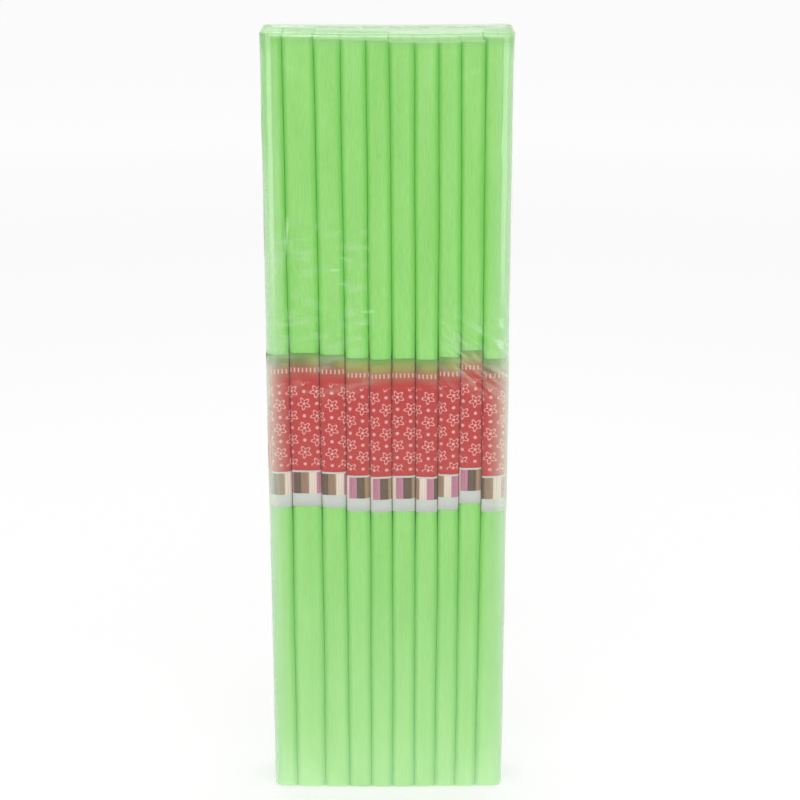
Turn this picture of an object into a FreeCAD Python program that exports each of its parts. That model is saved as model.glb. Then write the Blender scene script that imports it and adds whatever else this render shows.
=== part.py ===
import FreeCAD, Part
import math
import os

import Sketcher

# A retail pack of ten crepe paper folds, standing on end.
#
# Each fold is one sheet of crepe paper, wound flat into a long slab and held by its own
# printed paper band.  The ten slabs stand side by side, broad face to broad face, and a bag
# of clear shrink film holds the bundle together.
#
# Frame: +Z up along the folds, X across the ten of them, Y through the pack.  The front,
# where the folds' narrow sides show, faces -Y.  The origin is the middle of the base.
# Every length is in millimetres.

# ------------------------------------------------------------------ driving dimensions

SIZES = {
    # crepe paper folds
    "fold_length": 500.0,  # the cut width of the shortest sheets, and their folds' long way
    "fold_width": 45.0,  # a fold's flat width at the middle of the pack
    "front_arch": 1.0,  # the outermost folds are squeezed this much narrower
    "fold_round": 3.2,  # radius of a fold's long edges, beside a neighbour
    "outer_round": 6.0,  # radius of the pack's four outer long edges
    "seat_gap": 0.05,  # from the folds' ends to the film under them
    # paper bands
    "band_height": 103.0,
    "band_paper": 0.2,  # thickness of the band's paper
    "band_clear": 0.05,  # from a fold to the band around it
    "band_overlap": 15.0,  # length of the glued overlap
    "band_slip": 0.1,  # from one band to the next
    # shrink film
    "film_thick": 0.2,
    "film_gap": 0.15,  # from the bands to the film's inside
    "film_head": 1.3,  # from the tallest fold's end to the film above it
    "film_top_round": 1.6,  # radius round the film's top rim
    "fin_height": 1.5,  # the trim seal stands up across the top
    "fin_thick": 0.6,
    "bead_proud": 0.3,  # the same seal lies flat down the right-hand side
    "bead_width": 1.6,
}

# Each fold's thickness, from left to right.
THICKNESS = (14.5, 18.4, 15.3, 14.5, 13.6, 14.2, 13.8, 13.2, 13.5, 15.5)
# How much longer each fold was cut than the shortest ones.
EXTRA = (4.8, 3.6, 2.2, 1.6, 1.4, 0.2, 0.0, 0.2, 0.6, 3.0)
# How far each band has slid up its fold from the middle of the shortest ones.
SHIFT = (3.5, 4.6, 3.9, 1.8, 0.7, 1.0, 0.3, 2.4, 6.9, 0.9)

FOLDS = range(1, len(THICKNESS) + 1)


def cell(kind, number):
    """The alias of a size that each fold has for itself."""
    return f"{kind}_{number:02d}"


def make_sheet(doc):
    """Writes the driving dimensions into a spreadsheet, one named cell each."""
    sheet = doc.addObject("Spreadsheet::Sheet", "dims")
    values = dict(SIZES)
    for number, thickness, extra, shift in zip(FOLDS, THICKNESS, EXTRA, SHIFT):
        values[cell("fold_thick", number)] = thickness
        values[cell("fold_extra", number)] = extra
        values[cell("band_shift", number)] = shift
    for row, (alias, value) in enumerate(values.items(), start=1):
        sheet.set(f"A{row}", alias)
        sheet.set(f"B{row}", str(value))
        sheet.setAlias(f"B{row}", alias)
    doc.recompute()
    return sheet


# --------------------------------------------------- derived sizes, as cell expressions


def dim(alias):
    return f"dims.{alias}"


def total(terms):
    return "(" + " + ".join(terms) + ")"


WRAP = total([dim("band_clear"), dim("band_paper")])  # fold to the outside of its band
SPACING = total([WRAP, dim("band_paper"), dim("band_slip"), WRAP])  # fold to fold
THICK_SUM = total([dim(cell("fold_thick", n)) for n in FOLDS])
FOLDS_ACROSS = f"({THICK_SUM} + {len(THICKNESS) - 1} * {SPACING})"
BUNDLE_ACROSS = f"({WRAP} + {FOLDS_ACROSS} + {WRAP} + {dim('band_paper')})"
EXTRA_MOST = "max(" + "; ".join(dim(cell("fold_extra", n)) for n in FOLDS) + ")"

FILM_OFF = total([WRAP, dim("film_gap"), dim("film_thick")])  # fold to the film's outside
FOOT_ROUND = FILM_OFF  # the film turns under just where the folds begin
FILM_HALF = f"({BUNDLE_ACROSS} / 2 + {dim('film_gap')} + {dim('film_thick')})"
FILM_DEEP = f"({dim('fold_width')} / 2 + {FILM_OFF})"
ARCH_RADIUS = f"(({FILM_HALF}^2 + {dim('front_arch')}^2) / (2 * {dim('front_arch')}))"
ARCH_CENTRE = f"({ARCH_RADIUS} - {FILM_DEEP})"
CENTRE_X = f"(-{dim('bead_proud')} / 2)"  # the bead stands out on one side only
FOLD_FOOT = total([dim("film_thick"), dim("seat_gap")])
FILM_TOP = (
    f"({FOLD_FOOT} + {EXTRA_MOST} + {dim('fold_length')}"
    f" + {dim('film_head')} + {dim('film_thick')})"
)


def fold_left(number):
    """Expression for the left face of a fold."""
    before = [f"{dim(cell('fold_thick', n))} + {SPACING}" for n in FOLDS if n < number]
    return total([CENTRE_X, f"(-{BUNDLE_ACROSS} / 2)", WRAP] + before)


def fold_centre(number):
    return f"({fold_left(number)} + {dim(cell('fold_thick', number))} / 2)"


def fold_width(number):
    """Expression for a fold's width, so that its front stays behind the pack's arched front."""
    from_middle = f"abs({fold_left(number)} - ({fold_left(1)} + {FOLDS_ACROSS} / 2)"
    from_middle += f" + {dim(cell('fold_thick', number))} / 2)"
    reach = f"({from_middle} + {dim(cell('fold_thick', number))} / 2)"
    share = f"({reach} / ({FOLDS_ACROSS} / 2))"
    return f"({dim('fold_width')} - {dim('front_arch')} * {share}^2)"


# ------------------------------------------------------------------- sketching helpers


def new_body(doc, name):
    body = doc.addObject("PartDesign::Body", name)
    body.Label = name
    return body


def new_sketch(body, name):
    """An empty sketch on the body's own XY plane."""
    sketch = body.newObject("Sketcher::SketchObject", name)
    plane = next(f for f in body.Origin.OriginFeatures if f.Role == "XY_Plane")
    sketch.AttachmentSupport = [(plane, "")]
    sketch.MapMode = "FlatFace"
    return sketch


def bind(sketch, constraint, name, expression):
    """Adds a named dimension to a sketch and ties it to cells of the sheet."""
    index = sketch.addConstraint(constraint)
    sketch.renameConstraint(index, name)
    sketch.setExpression(f"Constraints.{name}", expression)


def draw_box(sketch, name, across, through):
    """A rectangle centred on the sketch's origin, across by through."""
    corners = [FreeCAD.Vector(x, y) for x, y in ((-9, -9), (9, -9), (9, 9), (-9, 9))]
    first = sketch.GeometryCount
    for start, end in zip(corners, corners[1:] + corners[:1]):
        sketch.addGeometry(Part.LineSegment(start, end), False)
    for side in range(4):
        after = first + (side + 1) % 4
        sketch.addConstraint(Sketcher.Constraint("Coincident", first + side, 2, after, 1))
    for side, way in enumerate(("Horizontal", "Vertical", "Horizontal", "Vertical")):
        sketch.addConstraint(Sketcher.Constraint(way, first + side))
    sketch.addConstraint(Sketcher.Constraint("Symmetric", first, 1, first + 2, 1, -1, 1))
    width = Sketcher.Constraint("DistanceX", first, 1, first, 2, 18.0)
    bind(sketch, width, f"{name}_across", across)
    depth = Sketcher.Constraint("DistanceY", first + 1, 1, first + 1, 2, 18.0)
    bind(sketch, depth, f"{name}_through", through)


def pad(body, sketch, name, length):
    feature = body.newObject("PartDesign::Pad", name)
    feature.Profile = sketch
    feature.setExpression("Length", length)
    sketch.Visibility = False
    body.Document.recompute()
    return feature


def upright_edges(shape, wanted):
    """Names of the edges that run along Z and whose place in X and Y is wanted."""
    names = []
    for index, edge in enumerate(shape.Edges, start=1):
        a, b = edge.Vertexes[0].Point, edge.Vertexes[-1].Point
        if abs(a.z - b.z) > 1.0 and abs(a.x - b.x) + abs(a.y - b.y) < 1e-6:
            if wanted(a.x, a.y):
                names.append(f"Edge{index}")
    return names


def rim_edges(shape, height):
    """Names of the edges of the rim at that height."""
    return [
        f"Edge{index}"
        for index, edge in enumerate(shape.Edges, start=1)
        if all(abs(v.Point.z - height) < 1e-6 for v in edge.Vertexes)
    ]


def fillet(body, name, edges, radius):
    before = body.Tip
    feature = body.newObject("PartDesign::Fillet", name)
    feature.Base = (before, edges)
    feature.setExpression("Radius", radius)
    body.Tip = feature
    body.Document.recompute()
    return feature


def put(body, x="0", y="0", z="0"):
    for axis, expression in zip("xyz", (x, y, z)):
        body.setExpression(f"Placement.Base.{axis}", expression)


def outer_side(number):
    """Which side of a fold is the pack's outer side: -1 left, 1 right, 0 neither."""
    return {FOLDS[0]: -1, FOLDS[-1]: 1}.get(number, 0)


# --------------------------------------------------------------------------- the pieces


def round_long_edges(body, number, name, wanted, extra):
    """Rounds the upright edges that are wanted, more on the pack's outer side."""
    side = outer_side(number)
    inner = upright_edges(body.Tip.Shape, lambda x, y: wanted(x) and x * side <= 0)
    fillet(body, f"{name}_{number:02d}", inner, f"{dim('fold_round')} + {extra}")
    if side:
        outer = upright_edges(body.Tip.Shape, lambda x, y: wanted(x) and x * side > 0)
        outer_name = f"{name}_outer_{number:02d}"
        fillet(body, outer_name, outer, f"{dim('outer_round')} + {extra}")


def make_fold(doc, number):
    """One sheet of crepe paper wound flat: a slab with rounded long edges."""
    body = new_body(doc, f"crepe_fold_{number:02d}")
    sketch = new_sketch(body, f"fold_section_{number:02d}")
    draw_box(sketch, "fold", dim(cell("fold_thick", number)), fold_width(number))
    length = f"{dim('fold_length')} + {dim(cell('fold_extra', number))}"
    pad(body, sketch, f"fold_pad_{number:02d}", length)
    round_long_edges(body, number, "fold_edges", lambda x: True, "0")
    put(
        body,
        fold_centre(number),
        f"({dim('fold_width')} - {fold_width(number)}) / 2",
        FOLD_FOOT,
    )
    return body


def make_band(doc, number):
    """The printed paper band round one fold, with its glued overlap on the right."""
    body = new_body(doc, f"paper_band_{number:02d}")
    thick, width = dim(cell("fold_thick", number)), fold_width(number)
    clear, wrap = dim("band_clear"), WRAP
    ring = new_sketch(body, f"band_section_{number:02d}")
    draw_box(ring, "inside", f"{thick} + 2 * {clear}", f"{width} + 2 * {clear}")
    draw_box(ring, "outside", f"{thick} + 2 * {wrap}", f"{width} + 2 * {wrap}")
    pad(body, ring, f"band_pad_{number:02d}", dim("band_height"))
    reach = max(abs(v.Point.x) for v in body.Tip.Shape.Vertexes)
    round_long_edges(body, number, "band_in", lambda x: abs(x) < reach - 1e-6, clear)
    round_long_edges(body, number, "band_out", lambda x: abs(x) > reach - 1e-6, wrap)
    overlap = new_sketch(body, f"overlap_section_{number:02d}")
    draw_box(overlap, "overlap", dim("band_paper"), dim("band_overlap"))
    overlap.setExpression(
        "AttachmentOffset.Base.x", f"{thick} / 2 + {clear} + {dim('band_paper')}"
    )
    overlap_pad = pad(body, overlap, f"overlap_pad_{number:02d}", dim("band_height"))
    body.Tip = overlap_pad
    slack = f"({dim('fold_length')} - {dim('band_height')}) / 2"
    put(
        body,
        fold_centre(number),
        f"({dim('fold_width')} - {width}) / 2",
        f"{FOLD_FOOT} + {slack} + {dim(cell('band_shift', number))}",
    )
    return body


def film_section(body, name, inset):
    """The film's outline, moved inwards by inset: three flat sides and an arched front."""
    sketch = new_sketch(body, name)
    corners = [(-50, -30), (-50, 37), (50, 37), (50, -30)]
    points = [FreeCAD.Vector(x, y) for x, y in corners]
    left, back, right = (
        sketch.addGeometry(Part.LineSegment(a, b), False)
        for a, b in zip(points, points[1:])
    )
    circle = Part.Circle(FreeCAD.Vector(0, 145), FreeCAD.Vector(0, 0, 1), 182)
    front = sketch.addGeometry(
        Part.ArcOfCircle(circle, math.radians(254), math.radians(286)), False
    )
    sketch.addConstraint(Sketcher.Constraint("Coincident", left, 2, back, 1))
    sketch.addConstraint(Sketcher.Constraint("Coincident", back, 2, right, 1))
    sketch.addConstraint(Sketcher.Constraint("Coincident", right, 2, front, 2))
    sketch.addConstraint(Sketcher.Constraint("Coincident", front, 1, left, 1))
    sketch.addConstraint(Sketcher.Constraint("Vertical", left))
    sketch.addConstraint(Sketcher.Constraint("Vertical", right))
    sketch.addConstraint(Sketcher.Constraint("Symmetric", back, 1, back, 2, -2))
    sketch.addConstraint(Sketcher.Constraint("PointOnObject", front, 3, -2))
    across = Sketcher.Constraint("DistanceX", back, 1, back, 2, 100.0)
    bind(sketch, across, "across", f"2 * ({FILM_HALF} - {inset})")
    behind = Sketcher.Constraint("DistanceY", -1, 1, back, 1, 37.0)
    bind(sketch, behind, "behind", f"{FILM_DEEP} - {inset}")
    centre = Sketcher.Constraint("DistanceY", -1, 1, front, 3, 600.0)
    bind(sketch, centre, "arch_centre", ARCH_CENTRE)
    radius = Sketcher.Constraint("Radius", front, 640.0)
    bind(sketch, radius, "arch_radius", f"{ARCH_RADIUS} - {inset}")
    return sketch


def film_block(doc, name, inset, foot, height):
    """The film's outline as a solid block, its uprights and both its rims rounded."""
    body = new_body(doc, name)
    pad(body, film_section(body, f"{name}_section", inset), f"{name}_pad", height)
    corner = f"{dim('outer_round')} + {FILM_OFF} - {inset}"
    fillet(body, f"{name}_corners", upright_edges(body.Tip.Shape, lambda x, y: True), corner)
    top = max(v.Point.z for v in body.Tip.Shape.Vertexes)
    top_round = f"{dim('film_top_round')} - {inset}"
    fillet(body, f"{name}_top_rim", rim_edges(body.Tip.Shape, top), top_round)
    foot_round = f"{FOOT_ROUND} - {inset}"
    fillet(body, f"{name}_foot_rim", rim_edges(body.Tip.Shape, 0.0), foot_round)
    put(body, CENTRE_X, "0", foot)
    return body


def add_seal(body):
    """The trim seal: a fin across the top, and a flat bead down the right-hand side."""
    # Both start a film's thickness inside the block, so that they grow out of its wall.
    root = dim("film_thick")
    fin = new_sketch(body, "fin_section")
    straight = f"2 * ({FILM_HALF} - {dim('outer_round')})"
    draw_box(fin, "fin", straight, dim("fin_thick"))
    fin.setExpression("AttachmentOffset.Base.z", f"{FILM_TOP} - {root}")
    pad(body, fin, "seal_fin", f"{dim('fin_height')} + {root}")
    bead = new_sketch(body, "bead_section")
    draw_box(bead, "bead", f"{root} + {dim('bead_proud')}", dim("bead_width"))
    middle = f"{FILM_HALF} + ({dim('bead_proud')} - {root}) / 2"
    bead.setExpression("AttachmentOffset.Base.x", middle)
    bead.setExpression("AttachmentOffset.Base.z", FOOT_ROUND)
    run = f"{FILM_TOP} - {FOOT_ROUND} - {dim('film_top_round')}"
    body.Tip = pad(body, bead, "seal_bead", run)


def make_film(doc):
    """The shrink film bag: a thin closed wall round the whole bundle."""
    block = film_block(doc, "film_outside", "0", "0", FILM_TOP)
    add_seal(block)
    wall = dim("film_thick")
    room = film_block(doc, "film_inside", wall, wall, f"{FILM_TOP} - 2 * {wall}")
    film = doc.addObject("Part::Cut", "shrink_film")
    film.Label = "shrink_film"
    film.Base, film.Tool = block, room
    doc.recompute()
    return film


# ------------------------------------------------------------------------ build and save


def check(doc, pieces):
    """Stops the build if any feature failed or any piece isn't a sound solid."""
    for item in doc.Objects:
        if {"Invalid", "Error"} & set(item.State):
            raise RuntimeError(f"{item.Label} failed: {item.State}")
    for piece in pieces:
        if piece.Shape.isNull() or not piece.Shape.isValid() or not piece.Shape.Solids:
            raise RuntimeError(f"{piece.Label} isn't a valid solid")


def main():
    doc = FreeCAD.newDocument("crepe_paper_pack")
    make_sheet(doc)
    pieces = [make_fold(doc, number) for number in FOLDS]
    pieces += [make_band(doc, number) for number in FOLDS]
    pieces.append(make_film(doc))
    doc.recompute()
    check(doc, pieces)
    os.makedirs("parts", exist_ok=True)
    for piece in pieces:
        piece.Shape.exportStep(f"parts/{piece.Label}.step")
        size = piece.Shape.BoundBox
        print(
            f"{piece.Label}: {size.XLength:.2f} x {size.YLength:.2f} x {size.ZLength:.2f} mm,"
            f" {piece.Shape.Volume / 1000:.2f} cm3"
        )


main()
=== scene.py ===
import math

import bpy
import numpy as np
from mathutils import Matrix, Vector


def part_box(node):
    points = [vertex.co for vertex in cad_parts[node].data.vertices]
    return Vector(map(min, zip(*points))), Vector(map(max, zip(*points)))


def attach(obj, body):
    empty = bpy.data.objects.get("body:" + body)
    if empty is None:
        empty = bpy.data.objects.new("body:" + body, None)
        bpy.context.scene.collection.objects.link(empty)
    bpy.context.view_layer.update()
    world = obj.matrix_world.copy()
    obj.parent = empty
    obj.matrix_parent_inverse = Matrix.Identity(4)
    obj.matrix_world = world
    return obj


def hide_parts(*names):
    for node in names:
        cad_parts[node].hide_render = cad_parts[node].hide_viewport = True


# A retail pack of ten crepe paper folds, standing on end in clear shrink film.
#
# Every fold is a real wound sheet, every band a real strip of printed paper, and the film is
# one thin bag.  Lengths are in metres; MM turns the millimetres below into them.

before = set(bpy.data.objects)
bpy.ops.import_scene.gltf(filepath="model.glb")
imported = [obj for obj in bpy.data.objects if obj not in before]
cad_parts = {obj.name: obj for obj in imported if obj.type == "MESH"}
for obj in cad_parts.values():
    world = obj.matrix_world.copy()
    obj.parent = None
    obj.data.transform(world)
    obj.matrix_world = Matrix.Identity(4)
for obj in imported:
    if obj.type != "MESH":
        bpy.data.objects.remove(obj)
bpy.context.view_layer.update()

MM = 0.001
RNG = np.random.default_rng(7)
COUNT = 10
NUMBERS = range(1, COUNT + 1)

# crepe paper: 50 x 250 cm, wound flat
SHEET_LONG = 2.5
SHEET_THICK = 0.18 * MM
EDGE_ROUND = 4.2 * MM  # the folds' long edges, beside a neighbour: width of the bend
EDGE_FLAT = 0.52  # its depth as a share of its width
OUTER_ROUND = 8.5 * MM  # the four long edges at the pack's corners
TIGHT_ROUND = 0.25 * MM  # the inmost bends
RIDGE_PITCH = 1.35 * MM  # the crinkles that are modelled; finer ones are in the material
RIDGE_HIGH = 0.018 * MM

# paper bands
BAND_PAPER = 0.12 * MM
BAND_CLEAR = 0.08 * MM
BAND_OVERLAP = 15 * MM

# shrink film
FILM_THICK = 0.08 * MM  # drawn thicker than the real 0.03 mm
FILM_ROUND = 7.7 * MM
FILM_RIM = 1.5 * MM
FIN_HIGH = 1.4 * MM
FIN_HALF = 0.16 * MM
BEAD_HALF = 0.6 * MM

# Held only by the film, the folds don't stand quite straight: all the gaps lean to the left
# towards the head, and towards the foot they slip to the left, the right-hand ones most.
HEAD_LEAN = 2.0
FOOT_SLIP = 3.0
# How far round its fold each band has turned.
BAND_TURN = (-12.0, -12.0, -12.0, 0.5, 0.0, -0.5, -5.5, -7.5, 1.0, -11.0)


# ------------------------------------------------------------------ places, from the frame


def fold_box(number):
    low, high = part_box(f"crepe_fold_{number:02d}")
    return np.array(low), np.array(high)


FOLD_BOXES = [fold_box(number) for number in NUMBERS]
FILM_LOW, FILM_HIGH = (np.array(corner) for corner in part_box("shrink_film"))
HALF_ACROSS = (FOLD_BOXES[-1][1][0] - FOLD_BOXES[0][0][0]) / 2
MIDDLE_X = (FOLD_BOXES[-1][1][0] + FOLD_BOXES[0][0][0]) / 2
BACK_Y = FOLD_BOXES[0][1][1]
FRONT_Y = min(low[1] for low, high in FOLD_BOXES)
ARCH = FOLD_BOXES[0][0][1] - FRONT_Y
FOOT_Z = min(low[2] for low, high in FOLD_BOXES)
PACK_HIGH = FOLD_BOXES[5][1][2] - FOOT_Z
GAP_X = np.array([(a[1][0] + b[0][0]) / 2 for a, b in zip(FOLD_BOXES, FOLD_BOXES[1:])])


def stray(x, z):
    """Sideways shift of the bundle at (x, z): the lean grows with the square of the height, the
    slip with the square of the distance from the head and with the square of the way from the
    first gap to the last, and a slow ripple lies over both. The film's sides stay in place."""
    knots = np.concatenate(([FILM_LOW[0]], GAP_X, [FILM_HIGH[0]]))
    t = np.clip((z - FOOT_Z) / PACK_HIGH, 0, 1)
    turns = np.interp(x, knots, np.concatenate(([0], 2.4 * np.arange(1, COUNT), [0])))
    held = np.interp(x, knots, np.concatenate(([0], np.ones(COUNT - 1), [0])))
    rightward = np.interp(x, knots, np.concatenate(([0], np.linspace(0, 1, COUNT - 1), [0])))
    shift = -HEAD_LEAN * held * t ** 2 - FOOT_SLIP * rightward ** 2 * (1 - t) ** 2
    shift = shift + 0.16 * held * (np.sin(23 * z + turns) + 0.7 * np.sin(51 * z + 1.9 * turns))
    return shift * MM


def arch(x):
    """Front of the bundle at x: a parabola, furthest forward in the middle."""
    return FRONT_Y + ARCH * ((x - MIDDLE_X) / HALF_ACROSS) ** 2


def settle(x, y, z, front):
    """Carries a point of a straight fold to its place: the depth is stretched so that the
    fold's own front follows the arch, the stray is added, and inside the bundle the folds'
    broad sides bend together in a slow wave."""
    deep = (BACK_Y - arch(x)) / (BACK_Y - front)
    knots = np.concatenate(([FILM_LOW[0]], GAP_X, [FILM_HIGH[0]]))
    held = np.interp(x, knots, np.concatenate(([0], np.ones(COUNT - 1), [0])))
    bend = 0.9 * MM * held * np.sin(2 * math.pi * (y - front) / (0.4 * (BACK_Y - front)))
    return x + stray(x, z) + bend, BACK_Y - (BACK_Y - y) * (0.35 + 0.65 * deep), z


# -------------------------------------------------------------------------- mesh helpers


def surface(name, points, uv=None, closed=False):
    """A mesh from a grid of points, rows by columns; closed joins the last column to the
    first.  uv is a grid of the same size."""
    rows, columns = points.shape[:2]
    index = np.arange(rows * columns).reshape(rows, columns)
    if closed:
        index = np.concatenate((index, index[:, :1]), axis=1)
    quads = np.stack((index[:-1, :-1], index[:-1, 1:], index[1:, 1:], index[1:, :-1]), axis=-1)
    quads = quads.reshape(-1, 4)
    mesh = bpy.data.meshes.new(name)
    mesh.vertices.add(rows * columns)
    mesh.vertices.foreach_set("co", points.reshape(-1).astype(np.float32))
    mesh.loops.add(quads.size)
    mesh.loops.foreach_set("vertex_index", quads.reshape(-1).astype(np.int32))
    mesh.polygons.add(len(quads))
    mesh.polygons.foreach_set("loop_start", np.arange(0, quads.size, 4, dtype=np.int32))
    mesh.polygons.foreach_set("use_smooth", np.ones(len(quads), dtype=bool))
    if uv is not None:
        layer = mesh.uv_layers.new(name="UVMap")
        layer.data.foreach_set("uv", uv.reshape(-1, 2)[quads.reshape(-1)].reshape(-1))
    mesh.update(calc_edges=True)
    mesh.validate()
    piece = bpy.data.objects.new(name, mesh)
    bpy.context.scene.collection.objects.link(piece)
    return piece


def thicken(piece, thickness, offset):
    """Gives a surface its thickness, with closed rims."""
    wall = piece.modifiers.new("thickness", "SOLIDIFY")
    wall.thickness = thickness
    wall.offset = offset


def blur(values, times):
    """Smooths a list by averaging neighbours, several times over."""
    for _ in range(times):
        values = np.concatenate((values[:1], values, values[-1:]))
        values = (values[:-2] + 2 * values[1:-1] + values[2:]) / 4
    return values


# ------------------------------------------------------------------------ a fold's section

SIDES = np.array([0, 0.36, 0.39, 0.47, 0.50, 0.86, 0.89, 0.97, 1.0])


def section(phase, inset, half, radii, flatness=(1, 1, 1, 1)):
    """Points and outward normals of a rounded rectangle, drawn in by inset.

    phase goes once round from 0 to 1: up the right side, round the back right corner, along
    the back, and so on.  half is the half size in x and y; radii are the corner radii at back
    right, back left, front left and front right, which shrink with the inset.  A corner is a
    quarter of an ellipse as deep as flatness times its radius."""
    a, b = half[0] - inset, half[1] - inset
    phase = np.mod(phase, 1.0)
    k = np.clip(np.searchsorted(SIDES, phase, side="right") - 1, 0, 7)
    f = (phase - SIDES[k]) / (SIDES[k + 1] - SIDES[k])
    corner_x, corner_y = np.array([1, -1, -1, 1]), np.array([1, 1, -1, -1])
    shrunk = [np.minimum(np.maximum(r - inset, TIGHT_ROUND), 0.98 * a) for r in radii]
    round_ = np.stack(np.broadcast_arrays(*shrunk))
    column = np.arange(len(phase))
    ahead, behind = k // 2, (k // 2 - 1) % 4  # the corners that end and begin a side
    turn = np.where(k % 2, ahead, 0)
    r = round_[turn, column]
    flat = np.array(flatness)
    deep = r * flat[turn]
    angle = (turn + f) * math.pi / 2
    arc_x = corner_x[turn] * (a - r) + r * np.cos(angle)
    arc_y = corner_y[turn] * (b - deep) + deep * np.sin(angle)
    side = k // 2
    along_y = side % 2 == 0
    start = round_[behind, column] * np.where(along_y, flat[behind], 1)
    end = round_[ahead, column] * np.where(along_y, flat[ahead], 1)
    sign = np.array([1, 1, -1, -1])[side]  # right, back, left, front
    from_, to = np.where(along_y, b, a) - start, np.where(along_y, b, a) - end
    run = -from_ + f * (from_ + to)
    side_x = np.where(along_y, sign * a, -sign * run)
    side_y = np.where(along_y, sign * run, sign * b)
    odd = k % 2 == 1
    normal = side * math.pi / 2
    angle = np.where(odd, angle, normal)
    x, y = np.where(odd, arc_x, side_x), np.where(odd, arc_y, side_y)
    nx, ny = np.cos(angle) * np.where(odd, flat[turn], 1), np.sin(angle)
    size = np.hypot(nx, ny)
    return x, y, nx / size, ny / size


def arc_length(x, y):
    return np.concatenate(([0], np.cumsum(np.hypot(np.diff(x), np.diff(y)))))


def fold_radii(number):
    """Corner radii at back right, back left, front left and front right."""
    left = OUTER_ROUND if number == 1 else EDGE_ROUND
    right = OUTER_ROUND if number == COUNT else EDGE_ROUND
    return right, left, left, right


def fold_flatness(number):
    """How flat those corners are: round at the pack's own corners."""
    left, right = (1 if radius > EDGE_ROUND else EDGE_FLAT for radius in fold_radii(number)[1::-1])
    return right, left, left, right


def spiral_stations(turns):
    """Places along a winding, in turns from its inner end: a few in each inner turn, and a
    fine row in the outer one."""
    one_turn = np.concatenate(
        [
            np.linspace(SIDES[k], SIDES[k + 1], steps, endpoint=False)
            for k, steps in enumerate((4, 3, 2, 3, 4, 3, 2, 3))
        ]
    )
    inner = [turns - lap + one_turn for lap in range(math.ceil(turns), 1, -1)]
    outer = turns - 1 + np.linspace(0, 1, 500)
    stations = np.concatenate(inner + [outer])
    return stations[stations >= 0]


def swell(x, z, number):
    """Lets a fold out sideways, clear of the bands, until it meets its neighbours: straight
    across from one side to the other, and none at the pack's own sides."""
    low, high = FOLD_BOXES[number - 1]
    left = low[0] - (FOLD_BOXES[number - 2][1][0] if number > 1 else low[0])
    right = (FOLD_BOXES[number][0][0] if number < COUNT else high[0]) - high[0]
    band_low, band_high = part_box(f"paper_band_{number:02d}")
    beyond = np.maximum(band_low[2] - z, z - band_high[2]) - 1 * MM
    share = 1 - np.exp(-np.maximum(beyond, 0) / (7 * MM))
    across = np.interp(x, (low[0], high[0]), (-left, right))
    return x + 0.5 * (across + 0 * z) * share


def make_fold(number):
    """A sheet of crepe paper wound flat.

    Its section is a rounded rectangle whose inset grows evenly from the outer end to the inner
    one, so it winds inwards; the number of turns is the one that uses up the sheet."""
    low, high = FOLD_BOXES[number - 1]
    middle, half = (low + high) / 2, (high - low) / 2
    radii = fold_radii(number)
    core = 0.3 * MM
    turns = SHEET_LONG / (4 * half[1])
    for _ in range(4):
        stations = spiral_stations(turns)
        pitch = (half[0] - SHEET_THICK / 2 - core) / turns
        inset = SHEET_THICK / 2 + RIDGE_HIGH + pitch * (turns - stations)
        x, y, nx, ny = section(stations - turns, inset, half, radii, fold_flatness(number))
        length = arc_length(x, y)
        turns *= SHEET_LONG / length[-1]
    share = np.concatenate(
        ([0, 0.004, 0.02], np.linspace(0.06, 0.38, 7), np.linspace(0.395, 0.62, 13),
         np.linspace(0.66, 0.94, 6), [0.98, 0.996, 1])
    )
    z = low[2] + (high[2] - low[2]) * share[:, None]
    # Each layer was cut a little high or low, which shows at both ends.
    laps = np.arange(int(turns) + 2)
    uneven = np.interp(stations, laps, RNG.normal(0, 0.12 * MM, len(laps)))
    ends = np.clip(np.abs(share - 0.5) * 2, 0.9, 1)[:, None] * 10 - 9
    z = z - np.abs(uneven[None, :]) * ends * np.sign(share - 0.5)[:, None]
    drift = 0.9 * np.sin(9 * share + number)[:, None] + 0.5 * np.sin(31 * share)[:, None]
    ridges = np.sin(2 * math.pi * length[None, :] / RIDGE_PITCH + drift)
    ridges = ridges + 0.6 * np.sin(2 * math.pi * length[None, :] / (2.7 * RIDGE_PITCH) - drift)
    ridges = RIDGE_HIGH * 0.6 * ridges
    px = middle[0] + x[None, :] + nx[None, :] * ridges
    py = middle[1] + y[None, :] + ny[None, :] * ridges
    px, py, z = settle(swell(px, z, number), py, z, low[1])
    uv = np.stack(np.broadcast_arrays(length[None, :] + 0.37 * number, z), axis=-1)
    piece = surface(f"crepe_sheet_{number:02d}", np.stack((px, py, z), axis=-1), uv)
    thicken(piece, SHEET_THICK, 0)
    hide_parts(f"crepe_fold_{number:02d}")
    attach(piece, "root")
    return piece


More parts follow.
